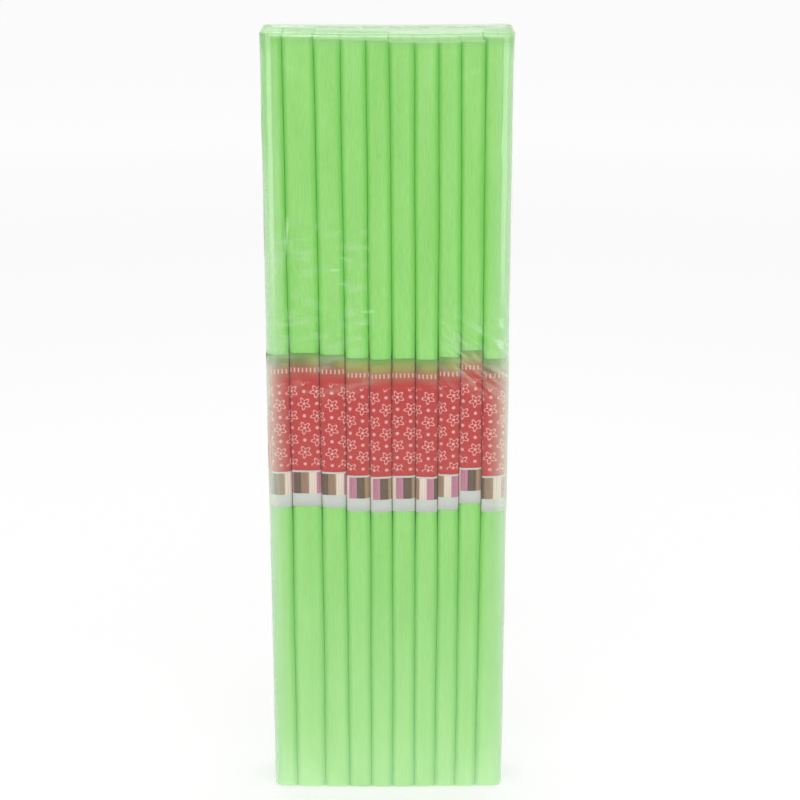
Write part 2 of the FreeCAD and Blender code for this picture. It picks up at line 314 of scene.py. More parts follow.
def make_band(number):
    """A strip of paper round a fold: the fold's section let out by the clearance, once round
    and on over its own start for the overlap, where it lies one paper further out."""
    low, high = FOLD_BOXES[number - 1]
    band_low, band_high = (np.array(c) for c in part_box(f"paper_band_{number:02d}"))
    middle, half = (low + high) / 2, (high - low) / 2
    tab = BAND_OVERLAP / 2 / (2 * half[1]) * SIDES[1]
    start, end = SIDES[1] / 2 - tab, 1 + SIDES[1] / 2 + tab
    phase = np.linspace(start, end, 420)
    over = np.clip((phase - (1 + start - 0.012)) / 0.010, 0, 1)
    outset = BAND_CLEAR + BAND_PAPER / 2 + 1.1 * BAND_PAPER * over
    x, y, nx, ny = section(phase, -outset, half, fold_radii(number), fold_flatness(number))
    length = arc_length(x, y)
    front = np.interp(0.93, phase, length)
    rows = np.linspace(0, 1, 15)[:, None]
    # The strip's edges aren't quite level all the way round.
    wave = 0.35 * MM * np.sin(2 * math.pi * phase + 1.3 * number)
    z = band_high[2] + (band_low[2] - band_high[2]) * rows - 0.4 * MM + wave[None, :]
    bow = 0.10 * MM * np.sin(math.pi * rows) * np.sin(7 * length / half[1] + number)[None, :]
    px = middle[0] + x[None, :] + nx[None, :] * np.abs(bow)
    py = middle[1] + y[None, :] + ny[None, :] * np.abs(bow)
    px, py, z = settle(px, py, z, low[1])
    turned = length - front + BAND_TURN[number - 1] * MM
    high_mm = (band_high[2] - band_low[2]) * rows
    uv = np.stack(np.broadcast_arrays(turned[None, :], high_mm), axis=-1)
    grid = np.stack((px, py, z), axis=-1)[::-1]
    piece = surface(f"band_strip_{number:02d}", grid, uv[::-1])
    thicken(piece, BAND_PAPER, 0)
    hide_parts(f"paper_band_{number:02d}")
    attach(piece, "root")
    return piece


# ---------------------------------------------------------------------------- shrink film

# Where the film has creased: x and z of the crease's middle, half its length and half its
# width, its tilt in degrees from level, and the height and spacing of its ripples.
CREASES = (
    (-6, 385, 11, 4.6, -58, 0.34, 11.0),
    (-9, 374, 8, 3.4, -64, 0.26, 8.0),
    (-27, 365, 6, 4.2, -12, 0.28, 7.4),
    (-33, 358, 7, 3.6, 20, 0.24, 7.6),
    (-50, 357, 9, 8.0, -48, 0.26, 8.0),
    (-47, 347, 7, 5.4, -30, 0.24, 7.6),
    (-28, 349, 6, 3.4, 5, 0.26, 7.6),
    (-12, 331, 7, 4.0, 14, 0.34, 8.0),
    (-17, 324, 7, 3.8, 10, 0.30, 7.8),
    (-31, 316, 6, 5.0, -8, 0.28, 7.6),
    (-19, 314, 5, 3.6, 4, 0.26, 7.4),
    (53, 322, 26, 11, -40, 0.30, 8.6),
    (66, 314, 12, 8, -38, 0.24, 8.0),
    (-57, 392, 14, 5.0, 84, 0.24, 10.0),
    (-62, 372, 22, 4.0, 88, 0.24, 9.0),
    (-12, 420, 6, 3.4, 50, 0.24, 8.0),
    (-31, 407, 6, 4.0, 70, 0.26, 8.0),
    (24, 388, 14, 4.6, 66, 0.20, 9.0),
    (34, 462, 12, 4.6, 75, 0.15, 9.0),
    (-60, 482, 14, 6.0, -35, 0.15, 9.0),
    (50, 478, 12, 4.6, 30, 0.15, 9.0),
    (64, 430, 18, 5.0, 78, 0.24, 10.0),
    (20, 130, 22, 8.0, -62, 0.14, 12.0),
    (-40, 90, 26, 9.0, 55, 0.14, 12.0),
)
# The film has relaxed: each crease is this much wider, and its ripples this much further apart.
CREASE_SPREAD = 1.25
CREASE_STRETCH = 1.4


def crease_height(along, z):
    """Ripples of the film: each crease is a patch of waves that fades out from its middle."""
    rise = np.zeros_like(along)
    for x0, z0, long, wide, tilt, high, pitch in CREASES:
        c, s = math.cos(math.radians(tilt)), math.sin(math.radians(tilt))
        dx, dz = along / MM - x0, z / MM - z0
        u, v = dx * c + dz * s, -dx * s + dz * c
        patch = np.exp(-((u / long) ** 2) - (v / (CREASE_SPREAD * wide)) ** 2)
        phase = 2 * math.pi * v / (CREASE_STRETCH * pitch)
        waves = np.cos(phase + 0.5 * np.sin(u / long * 2))
        rise = rise + high * patch * (waves + 0.5)
    return rise * MM


def film_outline():
    """Phases round the film: fine along the front and back, and finer beside the seal."""
    front, back = np.linspace(0, 1, 137)[:-1], np.linspace(0, 1, 55)[:-1]
    seal = np.array([0, -27, -19, -11, -5, -1.1, -0.7, -0.35, 0.35, 0.7, 1.1, 5, 11, 19, 27])
    right = (seal[1:] + 32) / 64
    left = np.linspace(0.04, 0.96, 10)
    corner = np.linspace(0, 1, 8)[:-1]
    steps = (right, corner, back, corner, left, corner, front, corner)
    ordered = [SIDES[k] + (SIDES[k + 1] - SIDES[k]) * step for k, step in enumerate(steps)]
    return np.concatenate(ordered)


def make_film():
    """The film bag: its walls follow the outline all the way up; over both ends it turns in
    round a small rim and closes on the middle line, where the top has its trim seal.  Grooves
    run down the gaps between the folds, and creases are added along the outline's normals."""
    phase = film_outline()
    middle = (FILM_LOW + FILM_HIGH) / 2
    wall_x = -FILM_LOW[0] + middle[0] - 0.3 * MM / 2
    half = np.array([HALF_ACROSS + 0.55 * MM, -FILM_LOW[1]])
    skin = 0.06 * MM
    tops = np.array([high[2] for low, high in FOLD_BOXES])
    fine_x = np.linspace(FILM_LOW[0], FILM_HIGH[0], 60)
    roof = tops.max() + 1.2 * MM - 0.5 * MM * np.sin(math.pi * np.linspace(0, 1, 60)) ** 2

    def ring(inset):
        x, y, nx, ny = section(phase, np.full(len(phase), inset), half, (FILM_ROUND,) * 4)
        x = x + middle[0]
        deep = (BACK_Y - FRONT_Y - ARCH * ((x - MIDDLE_X) / HALF_ACROSS) ** 2) / (BACK_Y - FRONT_Y)
        return x, half[1] - (half[1] - y) * deep, nx, ny

    x, y, nx, ny = ring(skin)
    front = ny < -0.5
    back = ny > 0.5
    rows = np.concatenate(
        (
            np.linspace(0, 0.02, 4)[:-1],
            np.linspace(0.02, 0.57, 40)[:-1],
            np.linspace(0.57, 0.80, 92)[:-1],
            np.linspace(0.80, 0.97, 34)[:-1],
            np.linspace(0.97, 1, 5),
        )
    )[:, None]
    top = np.interp(x, fine_x, roof)[None, :]
    foot = FILM_LOW[2]
    z = foot + FILM_RIM + (top - foot - 2 * FILM_RIM) * rows
    groove = np.zeros((len(rows), len(phase)))
    for number, gap in enumerate(GAP_X):
        near = (x[None, :] - gap - stray(np.full_like(z, gap), z)) / (1.7 * MM)
        depth = 0.15 + 0.08 * np.sin(17 * z + 2.1 * number) * np.sin(61 * z + number)
        groove = groove + depth * MM * np.exp(-(near**2))
    fade = np.clip(np.minimum(rows, 1 - rows) / 0.01, 0, 1)
    crease = crease_height(np.where(back, 9, 1) * MM * 0 + x[None, :], z)
    crease = np.where(front, crease, 0.7 * crease_height(-x[None, :] * 0.9, 0.8 - z))
    sides = ~(front | back)
    slow = 0.10 * MM * np.sin(40 * y[None, :] + 31 * z) * np.sin(57 * z + 90 * y[None, :])
    crease = np.where(sides, 0.3 * crease + slow, crease)
    cling = 0.22 * MM * (1 - band_zone(z))
    out = (crease - groove * (front | back)) * fade - cling * fade
    bead = 0.3 * MM * (np.abs(y) < BEAD_HALF) * (nx > 0.5)
    wall = np.stack((x + nx * out + bead, y + ny * out, z + 0 * out), axis=-1)

    def cap(end_z, sign, fin):
        """Rings from the top of the wall in to the middle line."""
        rings = []
        for angle in np.radians((22, 45, 68, 90)):
            rx, ry, _, _ = ring(skin + FILM_RIM * (1 - math.cos(angle)))
            rings.append((rx, ry, end_z - sign * FILM_RIM * (1 - math.sin(angle))))
        rx, ry, flat_z = rings[-1]
        pleat = np.sin(ry / MM * 0.55 + 0.3) * np.clip(np.abs(rx) / HALF_ACROSS - 0.55, 0, 1)
        for share in (0.06, 0.13, 0.22, 0.32, 0.44, 0.56, 0.68, 0.79, 0.88, 0.95, 0.985):
            bulge = math.sin(math.pi * share)
            dip = 0.5 * MM * bulge * np.cos(2 * math.pi * (rx - 0.01) / 0.045)
            lift = 0.9 * MM * bulge * pleat - 0.3 * MM * bulge + 0.5 * dip
            narrow = 1 - 0.02 * share
            rings.append((rx * narrow, ry * (1 - share), flat_z + fin * sign * np.minimum(lift, 0.2 * MM)))
        rx = rings[-1][0]
        side = np.sign(ry) * FIN_HALF
        if fin:
            for up in (0.3, 0.8, 1.0):
                wavy = 0.25 * MM * up * np.sin(rx / MM * 0.19) + 0.12 * MM * up * np.sin(rx / MM * 0.53)
                rings.append((rx, side * (1 - 0.4 * up) + wavy, flat_z + sign * FIN_HIGH * up))
            rings.append((rx, wavy, flat_z + sign * FIN_HIGH))
        else:
            rings.append((rx, 0 * side, flat_z))
        return np.array([np.stack(np.broadcast_arrays(*r), axis=-1) for r in rings])

    foot_cap = cap(np.full_like(x, foot + 0.02 * MM), -1, 0)[::-1]
    top_cap = cap(top[0], 1, 1)
    points = np.concatenate((foot_cap, wall, top_cap))
    piece = surface("film_bag", points, closed=True)
    weld = piece.modifiers.new("sealed", "WELD")
    weld.merge_threshold = 0.02 * MM
    thicken(piece, FILM_THICK, -1)
    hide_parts("shrink_film")
    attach(piece, "root")
    return piece


def band_zone(z):
    """1 where the bands are, 0 well above and below them."""
    low, high = (np.array(c)[2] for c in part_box("paper_band_06"))
    slope = 3 * MM
    return 1 / (1 + np.exp((low - z) / slope)) / (1 + np.exp((z - high) / slope))


# ------------------------------------------------------------------------------ materials


def linear(hex_colour):
    """An sRGB hex colour as linear RGBA."""
    parts = [int(hex_colour[i : i + 2], 16) / 255 for i in (1, 3, 5)]
    return [c / 12.92 if c <= 0.04045 else ((c + 0.055) / 1.055) ** 2.4 for c in parts] + [1]


def new_material(name):
    material = bpy.data.materials.new(name)
    material.use_nodes = True
    material.node_tree.nodes.clear()
    return material, material.node_tree


def add(tree, kind, feeds=None, **settings):
    """Adds a node, sets it up, and feeds its inputs with plain values or other sockets."""
    node = tree.nodes.new(kind)
    for key, value in settings.items():
        setattr(node, key, value)
    for key, value in (feeds or {}).items():
        if isinstance(value, bpy.types.NodeSocket):
            tree.links.new(value, node.inputs[key])
        else:
            node.inputs[key].default_value = value
    return node


def ramp(node, stops, interpolation="LINEAR"):
    """Sets a colour ramp's stops, given as position and hex colour."""
    node.color_ramp.interpolation = interpolation
    elements = node.color_ramp.elements
    while len(elements) < len(stops):
        elements.new(0.5)
    for element, (position, colour) in zip(elements, stops):
        element.position = position
        element.color = linear(colour)
    return node


def crepe_paper():
    """Crepe paper: dyed tissue, creped off a drum, so its fine crinkles run along the fold."""
    material, tree = new_material("dyed_crepe_paper")
    along = add(tree, "ShaderNodeUVMap", uv_map="UVMap")
    place = add(tree, "ShaderNodeTexCoord")
    # Crinkles are about 0.9 mm apart round the fold and 7 mm long up it.
    grain = add(tree, "ShaderNodeMapping", {"Vector": along.outputs[0], "Scale": (1100, 140, 1)})
    crinkle = add(
        tree,
        "ShaderNodeTexNoise",
        {"Vector": grain.outputs[0], "Scale": 1.0, "Detail": 3.0, "Roughness": 0.6},
        noise_dimensions="2D",
    )
    cloud = add(tree, "ShaderNodeMapping", {"Vector": along.outputs[0], "Scale": (60, 9, 1)})
    patch = add(
        tree,
        "ShaderNodeTexNoise",
        {"Vector": cloud.outputs[0], "Scale": 1.0, "Detail": 2.0},
        noise_dimensions="2D",
    )
    # The colour follows the crinkles' height as well as slow patches of tone: painted shade in the
    # crinkles' valleys and painted light on their ridges, over tone that differs at random.
    shade = add(tree, "ShaderNodeMath", {0: crinkle.outputs[0], 1: 0.55}, operation="MULTIPLY")
    mixed = add(
        tree,
        "ShaderNodeMath",
        {0: patch.outputs[0], 1: 0.45, 2: shade.outputs[0]},
        operation="MULTIPLY_ADD",
    )
    tint = add(tree, "ShaderNodeValToRGB", {0: mixed.outputs[0]})
    ramp(tint, ((0.25, "#82ca5e"), (0.5, "#91d36e"), (0.75, "#9edb7e")))
    # Deeper green where the surface turns sideways, as into the grooves between the folds: painted shade.
    # Paler where it looks up or down, at the cut ends: painted light.
    facing = add(tree, "ShaderNodeSeparateXYZ", {0: place.outputs["Normal"]})
    aside = add(tree, "ShaderNodeMath", {0: facing.outputs[0]}, operation="ABSOLUTE")
    upward = add(tree, "ShaderNodeMath", {0: facing.outputs[2]}, operation="ABSOLUTE")
    painted_groove_shade = add(
        tree,
        "ShaderNodeMapRange",
        {"Value": aside.outputs[0], "From Min": 0.05, "From Max": 0.55, "To Max": 0.9},
        interpolation_type="SMOOTHSTEP",
    )
    # Painted light: faces that look up or down, the cut ends, are mixed towards a paler green.
    cut = add(
        tree,
        "ShaderNodeMapRange",
        {"Value": upward.outputs[0], "From Min": 0.5, "From Max": 0.8},
        interpolation_type="SMOOTHSTEP",
    )
    # Painted shade: the sideways-facing surface is mixed towards a deeper green.
    deep = add(
        tree,
        "ShaderNodeMix",
        {"Factor": painted_groove_shade.outputs[0], 6: tint.outputs[0], 7: linear("#70c846")},
        data_type="RGBA",
    )
    colour = add(
        tree,
        "ShaderNodeMix",
        {"Factor": cut.outputs[0], 6: deep.outputs[2], 7: linear("#bdf0a8")},
        data_type="RGBA",
    )
    bump = add(
        tree,
        "ShaderNodeBump",
        {"Strength": 0.35, "Distance": 0.06 * MM, "Height": crinkle.outputs[0]},
    )
    paper = add(
        tree,
        "ShaderNodeBsdfPrincipled",
        {
            "Base Color": colour.outputs[2],
            "Roughness": 0.85,
            "Specular IOR Level": 0.25,
            "Sheen Weight": 0.15,
            "Sheen Roughness": 0.5,
            "Normal": bump.outputs[0],
        },
    )
    add(tree, "ShaderNodeOutputMaterial", {"Surface": paper.outputs[0]})
    return material


def printed_paper():
    """Coated label paper, offset printed: a red field with a lattice of small flowers, a
    garden-coloured strip above it and a striped ribbon and a bare margin below.

    The UV map holds millimetres as metres: across from the strip's front, and down from its
    top edge."""
    material, tree = new_material("offset_printed_paper")
    place = add(tree, "ShaderNodeUVMap", uv_map="UVMap")
    in_mm = add(
        tree, "ShaderNodeVectorMath", {0: place.outputs[0], 1: (1000, 1000, 1)}, operation="MULTIPLY"
    )
    split = add(tree, "ShaderNodeSeparateXYZ", {0: in_mm.outputs[0]})
    across, down = split.outputs[0], split.outputs[1]

    # Down the band: leaf green, the strip, the red field, a pale rule, the ribbon, bare paper.
    span = 103.0
    height = add(tree, "ShaderNodeMath", {0: down, 1: span}, operation="DIVIDE").outputs[0]
    leaf, red = "#78aa52", "#b92b2d"
    garden = ((0.0, leaf), (6 / span, "#9c9a50"), (11 / span, "#a27050"), (17 / span, red))
    earth = ((0.0, leaf), (5 / span, "#747c48"), (10 / span, "#98604c"), (17 / span, red))
    garden_strip = ramp(add(tree, "ShaderNodeValToRGB", {0: height}), garden)
    earth_strip = ramp(add(tree, "ShaderNodeValToRGB", {0: height}), earth)
    turn = add(
        tree,
        "ShaderNodeMapRange",
        {"Value": across, "From Min": -13.0, "From Max": -4.0},
        interpolation_type="SMOOTHSTEP",
    )
    field = add(
        tree,
        "ShaderNodeMix",
        {"Factor": turn.outputs[0], 6: earth_strip.outputs[0], 7: garden_strip.outputs[0]},
        data_type="RGBA",
    )

    # The flowers stand on a lattice turned by 45 degrees: five petals round a small hole.
    lattice = add(
        tree,
        "ShaderNodeMapping",
        {
            "Vector": in_mm.outputs[0],
            "Location": (0.3, 0.18, 0),
            "Rotation": (0, 0, math.radians(45)),
            "Scale": (1 / 11.5, 1 / 11.5, 1),
        },
    )
    cell = add(tree, "ShaderNodeVectorMath", {0: lattice.outputs[0]}, operation="FRACTION")
    centred = add(
        tree, "ShaderNodeVectorMath", {0: cell.outputs[0], 1: (0.5, 0.5, 0)}, operation="SUBTRACT"
    )
    reach = add(tree, "ShaderNodeVectorMath", {0: centred.outputs[0]}, operation="LENGTH")
    sides = add(tree, "ShaderNodeSeparateXYZ", {0: centred.outputs[0]})
    angle = add(
        tree, "ShaderNodeMath", {0: sides.outputs[1], 1: sides.outputs[0]}, operation="ARCTAN2"
    )
    five = add(tree, "ShaderNodeMath", {0: angle.outputs[0], 1: 5.0}, operation="MULTIPLY")
    petals = add(tree, "ShaderNodeMath", {0: five.outputs[0]}, operation="COSINE")
    rim = add(
        tree, "ShaderNodeMath", {0: petals.outputs[0], 1: 0.09, 2: 0.26}, operation="MULTIPLY_ADD"
    )
    off_rim = add(
        tree, "ShaderNodeMath", {0: reach.outputs["Value"], 1: rim.outputs[0]}, operation="SUBTRACT"
    )
    # Petals are drawn as an outline about 0.8 mm wide, with a dot for the heart.
    line = add(tree, "ShaderNodeMath", {0: off_rim.outputs[0]}, operation="ABSOLUTE")
    petal_line = add(
        tree,
        "ShaderNodeMapRange",
        {"Value": line.outputs[0], "From Min": 0.055, "From Max": 0.025},
    )
    heart = add(
        tree,
        "ShaderNodeMapRange",
        {"Value": reach.outputs["Value"], "From Min": 0.10, "From Max": 0.07},
    )
    # A bead sits between the flowers, where four cells of the lattice meet.
    from_edge = add(tree, "ShaderNodeVectorMath", {0: centred.outputs[0]}, operation="ABSOLUTE")
    to_corner = add(
        tree, "ShaderNodeVectorMath", {0: (0.5, 0.5, 0), 1: from_edge.outputs[0]}, operation="SUBTRACT"
    )
    bead_off = add(tree, "ShaderNodeVectorMath", {0: to_corner.outputs[0]}, operation="LENGTH")
    bead = add(
        tree,
        "ShaderNodeMapRange",
        {"Value": bead_off.outputs["Value"], "From Min": 0.11, "From Max": 0.08},
    )
    drawn = add(
        tree, "ShaderNodeMath", {0: petal_line.outputs[0], 1: heart.outputs[0]}, operation="MAXIMUM"
    )
    drawn = add(tree, "ShaderNodeMath", {0: drawn.outputs[0], 1: bead.outputs[0]}, operation="MAXIMUM")
    below = add(tree, "ShaderNodeMapRange", {"Value": down, "From Min": 19.0, "From Max": 20.0})
    above = add(tree, "ShaderNodeMapRange", {"Value": down, "From Min": 75.5, "From Max": 74.5})
    inside = add(
        tree, "ShaderNodeMath", {0: below.outputs[0], 1: above.outputs[0]}, operation="MULTIPLY"
    )
    flowers = add(
        tree, "ShaderNodeMath", {0: drawn.outputs[0], 1: inside.outputs[0]}, operation="MULTIPLY"
    )
    # A row of short dashes runs along the foot of the garden strip.
    dashes = add(tree, "ShaderNodeMath", {0: across, 1: 1 / 2.6}, operation="MULTIPLY")
    dashes = add(tree, "ShaderNodeMath", {0: dashes.outputs[0]}, operation="FRACT")
    dash = add(
        tree, "ShaderNodeMapRange", {"Value": dashes.outputs[0], "From Min": 0.42, "From Max": 0.34}
    )
    dash_row = add(
        tree, "ShaderNodeMath", {0: down, 1: 11.2, 2: 1.5}, operation="COMPARE"
    )
    dashed = add(
        tree, "ShaderNodeMath", {0: dash.outputs[0], 1: dash_row.outputs[0]}, operation="MULTIPLY"
    )
    white_ink = add(
        tree, "ShaderNodeMath", {0: flowers.outputs[0], 1: dashed.outputs[0]}, operation="MAXIMUM"
    )
    inked = add(
        tree,
        "ShaderNodeMix",
        {"Factor": white_ink.outputs[0], 6: field.outputs[2], 7: linear("#e0a09e")},
        data_type="RGBA",
    )

    # The ribbon: even stripes, repeated round the band, each with its own fine streaks.
    brown, tan, cream, rose = "#604838", "#987860", "#d8c8b8", "#b87890"
    shades = (brown, tan, cream, rose)
    stripe_wide = 5.0
    repeats = add(
        tree, "ShaderNodeMath", {0: across, 1: len(shades) * stripe_wide}, operation="DIVIDE"
    )
    stripe_at = add(tree, "ShaderNodeMath", {0: repeats.outputs[0]}, operation="FRACT")
    stripes = add(tree, "ShaderNodeValToRGB", {0: stripe_at.outputs[0]})
    ramp(stripes, [(k / len(shades), shade) for k, shade in enumerate(shades)], "CONSTANT")
    streak_at = add(tree, "ShaderNodeMapping", {"Vector": in_mm.outputs[0], "Scale": (1.3, 0.02, 1)})
    streaks = add(
        tree,
        "ShaderNodeTexNoise",
        {"Vector": streak_at.outputs[0], "Scale": 1.0, "Detail": 2.0},
        noise_dimensions="2D",
    )
    streak = add(
        tree,
        "ShaderNodeMapRange",
        {"Value": streaks.outputs[0], "From Min": 0.3, "From Max": 0.7, "To Min": 0.8, "To Max": 1.2},
    )
    ribbon = add(
        tree,
        "ShaderNodeVectorMath",
        {0: stripes.outputs[0], "Scale": streak.outputs[0]},
        operation="SCALE",
    )
    # The lower part, from the pale rule down, is laid over the field by height.
    in_ribbon = add(tree, "ShaderNodeMath", {0: down, 1: 79.6}, operation="GREATER_THAN")
    printed = add(
        tree,
        "ShaderNodeMix",
        {"Factor": in_ribbon.outputs[0], 6: inked.outputs[2], 7: ribbon.outputs[0]},
        data_type="RGBA",
    )
    rule = add(tree, "ShaderNodeMath", {0: down, 1: 79.2, 2: 0.6}, operation="COMPARE")
    margin = add(tree, "ShaderNodeMath", {0: down, 1: 94.3}, operation="GREATER_THAN")
    bare = add(tree, "ShaderNodeMath", {0: rule.outputs[0], 1: margin.outputs[0]}, operation="MAXIMUM")
    colour = add(
        tree,
        "ShaderNodeMix",
        {"Factor": bare.outputs[0], 6: printed.outputs[2], 7: linear("#c5c8c3")},
        data_type="RGBA",
    )
    fibre = add(
        tree,
        "ShaderNodeTexNoise",
        {"Vector": in_mm.outputs[0], "Scale": 1.6, "Detail": 3.0},
        noise_dimensions="2D",
    )
    bump = add(
        tree, "ShaderNodeBump", {"Strength": 0.12, "Distance": 0.03 * MM, "Height": fibre.outputs[0]}
    )
    paper = add(
        tree,
        "ShaderNodeBsdfPrincipled",
        {
            "Base Color": colour.outputs[2],
            "Roughness": 0.55,
            "Specular IOR Level": 0.2,
            "Normal": bump.outputs[0],
        },
    )
    add(tree, "ShaderNodeOutputMaterial", {"Surface": paper.outputs[0]})
    return material


def shrink_film():
    """Polyolefin shrink film, blown thin and drawn tight with hot air: clear and glossy, with a
    faint hazy cast, thickened by painted light: bounced from the floor at the foot, and painted
    reflections and highlights elsewhere."""
    material, tree = new_material("heat_shrunk_film")
    place = add(tree, "ShaderNodeTexCoord")
    pulled = add(tree, "ShaderNodeMapping", {"Vector": place.outputs["Object"], "Scale": (90, 90, 40)})
    ripple = add(
        tree, "ShaderNodeTexNoise", {"Vector": pulled.outputs[0], "Scale": 1.0, "Detail": 3.0}
    )
    bump = add(
        tree, "ShaderNodeBump", {"Strength": 0.25, "Distance": 0.5 * MM, "Height": ripple.outputs[0]}
    )
    gloss = add(
        tree,
        "ShaderNodeBsdfGlossy",
        {"Color": (1, 1, 1, 1), "Roughness": 0.14, "Normal": bump.outputs[0]},
    )
    clear = add(tree, "ShaderNodeBsdfTransparent", {"Color": (1, 1, 1, 1)})
    # Schlick's rule for each face of the film, held below a full mirror at a glancing look.
    tilt = add(tree, "ShaderNodeLayerWeight", {"Blend": 0.5, "Normal": bump.outputs[0]})
    steep = add(tree, "ShaderNodeMath", {0: tilt.outputs["Facing"], 1: 5.0}, operation="POWER")
    mirror = add(
        tree, "ShaderNodeMath", {0: steep.outputs[0], 1: 0.35, 2: 0.05}, operation="MULTIPLY_ADD"
    )
    skin = add(
        tree, "ShaderNodeMixShader", {0: mirror.outputs[0], 1: clear.outputs[0], 2: gloss.outputs[0]}
    )
    at = add(tree, "ShaderNodeSeparateXYZ", {0: place.outputs["Object"]})
    across = add(tree, "ShaderNodeMath", {0: at.outputs[0]}, operation="ABSOLUTE")
    deep = add(tree, "ShaderNodeMath", {0: at.outputs[1]}, operation="ABSOLUTE")

    def span(value, low, high, from_, to):
        """How much haze and painted light the film has along one direction, eased from one value to the
        other.
        """
        settings = {"Value": value, "From Min": low, "From Max": high, "To Min": from_, "To Max": to}
        node = add(tree, "ShaderNodeMapRange", settings, interpolation_type="SMOOTHSTEP")
        return node.outputs[0]

    # The cast is a faint even haze plus painted light: light bounced up from the floor at the foot,
    # painted reflections round the long corners, and a painted pale sheen at the head, over the shorter
    # folds in the middle more than over the ends.
    up = span(at.outputs[2], 0.05, 0.34, 0.048, 0.012)
    painted_foot_light = span(at.outputs[2], 0.0, 0.06, 0.045, 0.0)
    foot = add(tree, "ShaderNodeMath", {0: up, 1: painted_foot_light}).outputs[0]
    # Painted reflection: round the long corners the cast whitens, less towards the foot and the head.
    corner = span(across.outputs[0], 0.062, 0.0755, 0.0, 0.15)
    corner_low = span(at.outputs[2], 0.0, 0.25, 0.45, 1.0)
    corner_high = span(at.outputs[2], 0.36, 0.50, 1.0, 0.6)
    corner_only = span(deep.outputs[0], float(FILM_HIGH[1]) - 0.017, float(FILM_HIGH[1]) - 0.007, 0.0, 1.0)
    # Painted light at the head: a pale sheen over the roof, stronger over the middle folds than over the
    # ends.
    head = span(at.outputs[2], 0.494, 0.507, 0.0, 0.17)
    head_left = span(at.outputs[0], -0.075, -0.030, 0.4, 1.0)
    head_right = span(at.outputs[0], 0.050, 0.072, 1.0, 0.7)
    ends = add(tree, "ShaderNodeMath", {0: corner_low, 1: corner_high}, operation="MULTIPLY")
    there = add(tree, "ShaderNodeMath", {0: corner, 1: corner_only}, operation="MULTIPLY")
    # At its outermost edges the cast whitens further: a painted reflection where the film turns away from
    # the eye.
    edge = span(across.outputs[0], 0.0728, 0.0776, 0.0, 0.26)
    base = add(
        tree,
        "ShaderNodeMath",
        {0: edge, 1: corner_only, 2: foot},
        operation="MULTIPLY_ADD",
    ).outputs[0]
    haze_and_painted_light = add(
        tree,
        "ShaderNodeMath",
        {0: there.outputs[0], 1: ends.outputs[0], 2: base},
        operation="MULTIPLY_ADD",
    )
    # Painted highlights over the bands, standing for glints on the film's creases: long streaks
    # falling to the right on one side, short and level ones on the other.
    def streaks(tilt, scale, low, high, most):
        slant = add(
            tree,
            "ShaderNodeMapping",
            {"Vector": place.outputs["Object"], "Rotation": (0, math.radians(tilt), 0)},
        )
        drawn = add(tree, "ShaderNodeMapping", {"Vector": slant.outputs[0], "Scale": scale})
        grain = add(
            tree, "ShaderNodeTexNoise", {"Vector": drawn.outputs[0], "Scale": 1.0, "Detail": 1.5}
        )
        return span(grain.outputs[0], low, high, 0.0, most)

    def where(value, *bounds):
        """The product of the eased steps given as (socket, low, high, from, to)."""
        for step in bounds:
            shares = {0: value, 1: span(*step)}
            value = add(tree, "ShaderNodeMath", shares, operation="MULTIPLY").outputs[0]
        return value

    across_x, up_z = at.outputs[0], at.outputs[2]
    falling = where(
        streaks(-40, (60, 20, 420), 0.44, 0.72, 0.12),
        (across_x, 0.015, 0.050, 0.0, 1.0),
        (up_z, 0.27, 0.29, 0.0, 1.0),
        (up_z, 0.305, 0.36, 1.0, 0.0),
    )
    level = where(
        streaks(8, (75, 20, 190), 0.46, 0.78, 0.075),
        (across_x, -0.020, 0.005, 1.0, 0.0),
        (up_z, 0.27, 0.29, 0.0, 1.0),
        (up_z, 0.37, 0.41, 1.0, 0.0),
    )
    for marks in (falling, level):
        haze_and_painted_light = add(tree, "ShaderNodeMath", {0: marks, 1: haze_and_painted_light.outputs[0]})
    # The head's painted sheen is added to the cast here.
    sides = add(tree, "ShaderNodeMath", {0: head_left, 1: head_right}, operation="MULTIPLY")
    haze_and_painted_light = add(
        tree,
        "ShaderNodeMath",
        {0: head, 1: sides.outputs[0], 2: haze_and_painted_light.outputs[0]},
        operation="MULTIPLY_ADD",
    )
    # Over the paper's ends the haze is painted green, as light bounced up from the paper below.
    painted_bounce_up = span(at.outputs[2], 0.490, 0.503, 0.0, 1.0)
    tint = add(
        tree,
        "ShaderNodeMix",
        {"Factor": painted_bounce_up, 6: linear("#eefbe8"), 7: linear("#bce2ae")},
        data_type="RGBA",
    )
    cast = add(tree, "ShaderNodeBsdfDiffuse", {"Color": tint.outputs[2], "Roughness": 0.5})
    # The diffuse cast, by this share, carries the faint haze and the painted light.
    film = add(
        tree, "ShaderNodeMixShader", {0: haze_and_painted_light.outputs[0], 1: skin.outputs[0], 2: cast.outputs[0]}
    )
    add(tree, "ShaderNodeOutputMaterial", {"Surface": film.outputs[0]})
    return material


def paint(piece, material):
    piece.data.materials.clear()
    piece.data.materials.append(material)


# ----------------------------------------------------------------- floor, light and camera


def any_of(tree, path, *rays):
    """A socket that is 1 for the named kinds of ray."""
    seen = path.outputs[rays[0]]
    for ray in rays[1:]:
        seen = add(tree, "ShaderNodeMath", {0: seen, 1: path.outputs[ray]}, operation="MAXIMUM")
        seen = seen.outputs[0]
    return seen


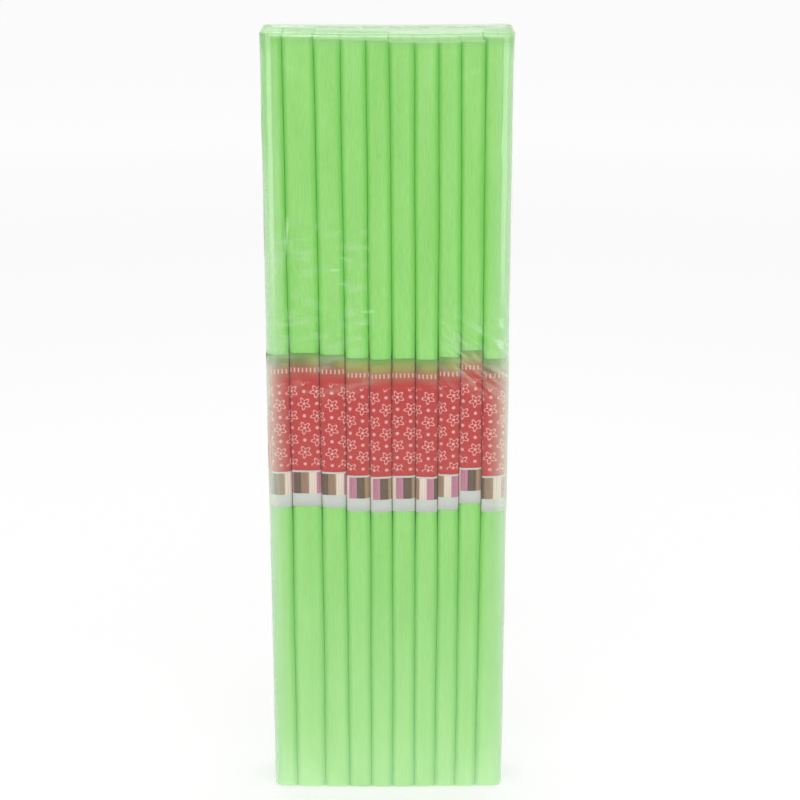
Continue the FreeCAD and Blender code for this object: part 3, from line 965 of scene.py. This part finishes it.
def make_floor():
    """A white floor that keeps the soft shadow at the pack's foot.  Glossy rays see a glowing
    sweep with no lamp behind it, a painted reflection: bright near the pack and beside it, and dark
    towards the camera."""
    size = 12.0
    grid = np.array([[(-size, -size, 0), (size, -size, 0)], [(-size, size, 0), (size, size, 0)]])
    floor = surface("floor", grid.astype(float))
    material, tree = new_material("white_paper_sweep")
    matt = add(tree, "ShaderNodeBsdfDiffuse", {"Color": linear("#f2f2f2")})
    dim = add(tree, "ShaderNodeBsdfDiffuse", {"Color": linear("#b0b0b0")})
    path = add(tree, "ShaderNodeLightPath")
    seen = any_of(tree, path, "Is Camera Ray", "Is Transmission Ray")
    place = add(tree, "ShaderNodeTexCoord")
    split = add(tree, "ShaderNodeSeparateXYZ", {0: place.outputs["Object"]})
    # The eye sees it white: lifted more away from the lamps than near the pack.
    away = add(
        tree, "ShaderNodeVectorMath", {0: place.outputs["Object"]}, operation="LENGTH"
    )
    lift = add(
        tree,
        "ShaderNodeMapRange",
        {
            "Value": away.outputs["Value"],
            "From Min": 0.3,
            "From Max": 2.5,
            "To Min": 0.57,
            "To Max": 0.78,
        },
    )
    glow = add(tree, "ShaderNodeEmission", {"Color": (1, 1, 1, 1), "Strength": lift.outputs[0]})
    lifted = add(tree, "ShaderNodeAddShader", {0: dim.outputs[0], 1: glow.outputs[0]})
    # A painted pool of light: close round the pack's foot the sweep glows, though it is no lamp, for the
    # rays that bounce off the paper, and lifts the paper just above it.
    pool = add(
        tree,
        "ShaderNodeMapRange",
        {"Value": away.outputs["Value"], "From Min": 0.08, "From Max": 0.2, "To Min": 0.42, "To Max": 0},
    )
    painted_pool_glow = add(tree, "ShaderNodeEmission", {"Color": (1, 1, 1, 1), "Strength": pool.outputs[0]})
    bounced = add(tree, "ShaderNodeAddShader", {0: matt.outputs[0], 1: painted_pool_glow.outputs[0]})
    both = add(
        tree, "ShaderNodeMixShader", {0: seen, 1: bounced.outputs[0], 2: lifted.outputs[0]}
    )
    aside = add(tree, "ShaderNodeMath", {0: split.outputs[0]}, operation="ABSOLUTE")
    # How far round to the side of the pack: 0 straight in front, 1 beside it and behind.
    ahead = add(tree, "ShaderNodeMath", {0: split.outputs[1], 1: -1.0}, operation="MULTIPLY")
    ahead = add(tree, "ShaderNodeMath", {0: ahead.outputs[0], 1: 0.001}, operation="MAXIMUM")
    both_ways = add(tree, "ShaderNodeMath", {0: aside.outputs[0], 1: ahead.outputs[0]})
    round_ = add(
        tree, "ShaderNodeMath", {0: aside.outputs[0], 1: both_ways.outputs[0]}, operation="DIVIDE"
    )
    beside = add(
        tree, "ShaderNodeMapRange", {"Value": round_.outputs[0], "From Min": 0.24, "From Max": 0.75}
    )
    close = add(
        tree,
        "ShaderNodeMapRange",
        {"Value": split.outputs[1], "From Min": -0.36, "From Max": -0.06, "To Max": 0.4},
    )
    bright = add(
        tree, "ShaderNodeMath", {0: beside.outputs[0], 1: close.outputs[0]}, operation="MAXIMUM"
    )
    strength = add(
        tree, "ShaderNodeMath", {0: bright.outputs[0], 1: 1.9, 2: 0.18}, operation="MULTIPLY_ADD"
    )
    # Painted reflection: this glow is seen by glossy rays only.
    sweep = add(tree, "ShaderNodeEmission", {"Color": (1, 1, 1, 1), "Strength": strength.outputs[0]})
    glossy = path.outputs["Is Glossy Ray"]
    final = add(tree, "ShaderNodeMixShader", {0: glossy, 1: both.outputs[0], 2: sweep.outputs[0]})
    add(tree, "ShaderNodeOutputMaterial", {"Surface": final.outputs[0]})
    paint(floor, material)


def make_world():
    world = bpy.data.worlds.new("studio")
    bpy.context.scene.world = world
    world.use_nodes = True
    tree = world.node_tree
    tree.nodes.clear()
    fill = add(tree, "ShaderNodeBackground", {"Color": (1, 1, 1, 1), "Strength": 0.42})
    white = add(tree, "ShaderNodeBackground", {"Color": (1, 1, 1, 1), "Strength": 1.0})
    path = add(tree, "ShaderNodeLightPath")
    seen = any_of(tree, path, "Is Camera Ray", "Is Glossy Ray", "Is Transmission Ray")
    both = add(tree, "ShaderNodeMixShader", {0: seen, 1: fill.outputs[0], 2: white.outputs[0]})
    add(tree, "ShaderNodeOutputWorld", {"Surface": both.outputs[0]})


def point_at(thing, target):
    """Turns a lamp or camera so that it looks at the target, with its top up."""
    away = np.array(thing.location) - np.array(target)
    flat = math.hypot(away[0], away[1])
    thing.rotation_euler = (math.atan2(flat, away[2]), 0, math.atan2(away[0], -away[1]))


def make_lamp(name, place, target, wide, high, radiance):
    """A softbox: its power is the radiance times pi times its area."""
    lamp = bpy.data.lights.new(name, "AREA")
    lamp.shape = "RECTANGLE"
    lamp.size, lamp.size_y = wide, high
    lamp.energy = radiance * math.pi * wide * high
    thing = bpy.data.objects.new(name, lamp)
    bpy.context.scene.collection.objects.link(thing)
    thing.location = place
    thing.visible_camera = False
    point_at(thing, target)


def make_camera():
    data = bpy.data.cameras.new("camera")
    data.sensor_width = 36.0
    data.lens = 87.52
    data.clip_end = 100.0
    camera = bpy.data.objects.new("camera", data)
    bpy.context.scene.collection.objects.link(camera)
    camera.location = (0.0077, -1.1991, 0.64986)
    camera.rotation_euler = (math.radians(90 - 17.66), 0, 0)
    bpy.context.scene.camera = camera


# ---------------------------------------------------------------------------------- build

GREEN, PRINT, FILM = crepe_paper(), printed_paper(), shrink_film()
for number in NUMBERS:
    paint(make_fold(number), GREEN)
    paint(make_band(number), PRINT)
paint(make_film(), FILM)

make_floor()
make_world()
centre = (0.0, 0.0, 0.28)
make_lamp("left_softbox", (-0.80, -0.95, 0.42), (0.0, 0.0, 0.20), 0.9, 0.8, 1.35)
make_lamp("right_softbox", (0.80, -0.95, 0.42), (0.0, 0.0, 0.20), 0.9, 0.8, 1.75)
make_lamp("front_softbox", (-0.10, -1.75, 0.74), (0.0, 0.0, 0.12), 1.6, 0.6, 3.1)
make_lamp("top_softbox", (0.0, 0.30, 1.55), (0.0, 0.0, 0.5), 1.3, 1.3, 2.5)
make_camera()
bpy.context.scene.view_settings.view_transform = "Standard"
